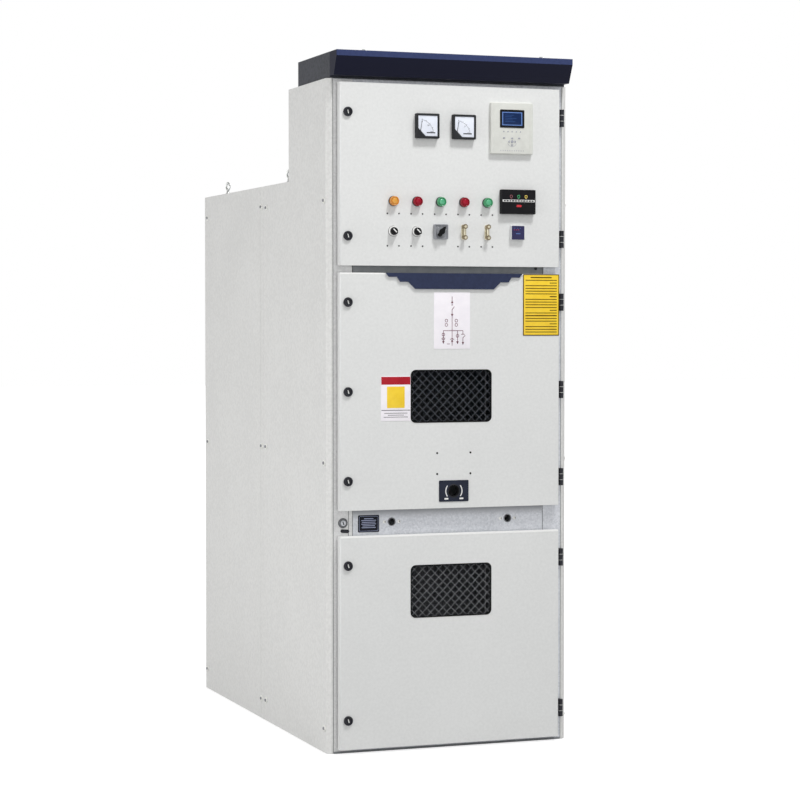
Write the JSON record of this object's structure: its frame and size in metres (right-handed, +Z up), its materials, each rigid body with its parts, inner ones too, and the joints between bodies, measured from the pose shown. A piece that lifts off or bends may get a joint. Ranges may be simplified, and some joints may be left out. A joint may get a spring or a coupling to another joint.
{
  "type": "vacuum circuit breaker switchgear panel",
  "caption": "Metal-clad switchgear panel for a withdrawable vacuum circuit breaker, with hinged instrument, breaker and cable doors, a tall front part and a lower rear part.",
  "frame": {"origin": "on the floor, in the middle of the cabinet's footprint and of its anchor holes", "axes": "+Z up, doors face -Y, +X to the right of someone facing the doors"},
  "size_m": [0.8, 1.465, 2.15],
  "materials": {
    "door_paint": "fine textured powder coat, light grey, semi-matt",
    "panel_paint": "smooth powder coat, light grey, semi-matt",
    "galvanized": "zinc coated sheet with a fine spangle",
    "dark_steel": "dark grey primer on rolled channels",
    "zinc_steel": "bright zinc plate",
    "charcoal_paint": "satin powder coat, charcoal",
    "navy_paint": "satin powder coat, navy",
    "black_metal": "black coated zinc casting",
    "black_plastic": "moulded black plastic, fine grain",
    "cream_plastic": "moulded cream plastic, fine grain",
    "grey_plastic": "moulded grey plastic",
    "blue_plastic": "printed blue film on a pale case",
    "orange_lens": "clear coloured lens",
    "red_lens": "clear coloured lens",
    "green_lens": "clear coloured lens",
    "brass": "turned and stamped brass",
    "window_glass": "tempered glass"
  },
  "bodies": {
    "housing": {"base_frame": "dark_steel", "floor_plate": "galvanized", "left_post": "galvanized", "right_post": "galvanized", "top_rail": "galvanized", "upper_rail": "galvanized", "band_rail": "galvanized", "sill_rail": "galvanized", "left_side_front": "panel_paint", "left_side_rear": "panel_paint", "right_side_front": "panel_paint", "right_side_rear": "panel_paint", "rear_posts": "galvanized", "rear_covers": "panel_paint", "rear_roof": "galvanized", "relief_plates": "galvanized", "lifting_eyes": "zinc_steel", "instrument_roof": "galvanized", "instrument_rear_wall": "galvanized", "compartment_floors": "galvanized", "rear_partition": "galvanized", "wireway_box": "charcoal_paint", "header_brow": "navy_paint", "hinge_brackets": "black_metal", "key_lock": "zinc_steel"},
    "instrument_door": {"instrument_door": "door_paint", "instrument_hinges": "black_metal", "instrument_locks": "black_metal", "meters": "black_plastic", "relay": "cream_plastic", "orange_lamp": "orange_lens", "red_lamps": "red_lens", "green_lamps": "green_lens", "selector_switches": "black_plastic", "cam_switch": "grey_plastic", "test_links": "brass", "voltage_display": "black_plastic", "heater_controller": "blue_plastic"},
    "breaker_door": {"breaker_door": "door_paint", "breaker_hinges": "black_metal", "breaker_locks": "black_metal", "breaker_window": "window_glass", "crank_plate": "black_plastic", "door_crest": "navy_paint"},
    "cable_door": {"cable_door": "door_paint", "cable_hinges": "black_metal", "cable_locks": "black_metal", "cable_window": "window_glass"}
  },
  "joints": [
    {"name": "instrument_door_hinge", "type": "hinge", "parent": "housing", "child": "instrument_door", "pos_m": [0.375, -0.714, 1.7785], "axis": [0, 0, 1], "range_deg": [0, 120]},
    {"name": "breaker_door_hinge", "type": "hinge", "parent": "housing", "child": "breaker_door", "pos_m": [0.375, -0.714, 1.114], "axis": [0, 0, 1], "range_deg": [0, 120]},
    {"name": "cable_door_hinge", "type": "hinge", "parent": "housing", "child": "cable_door", "pos_m": [0.375, -0.714, 0.343], "axis": [0, 0, 1], "range_deg": [0, 120]}
  ]
}
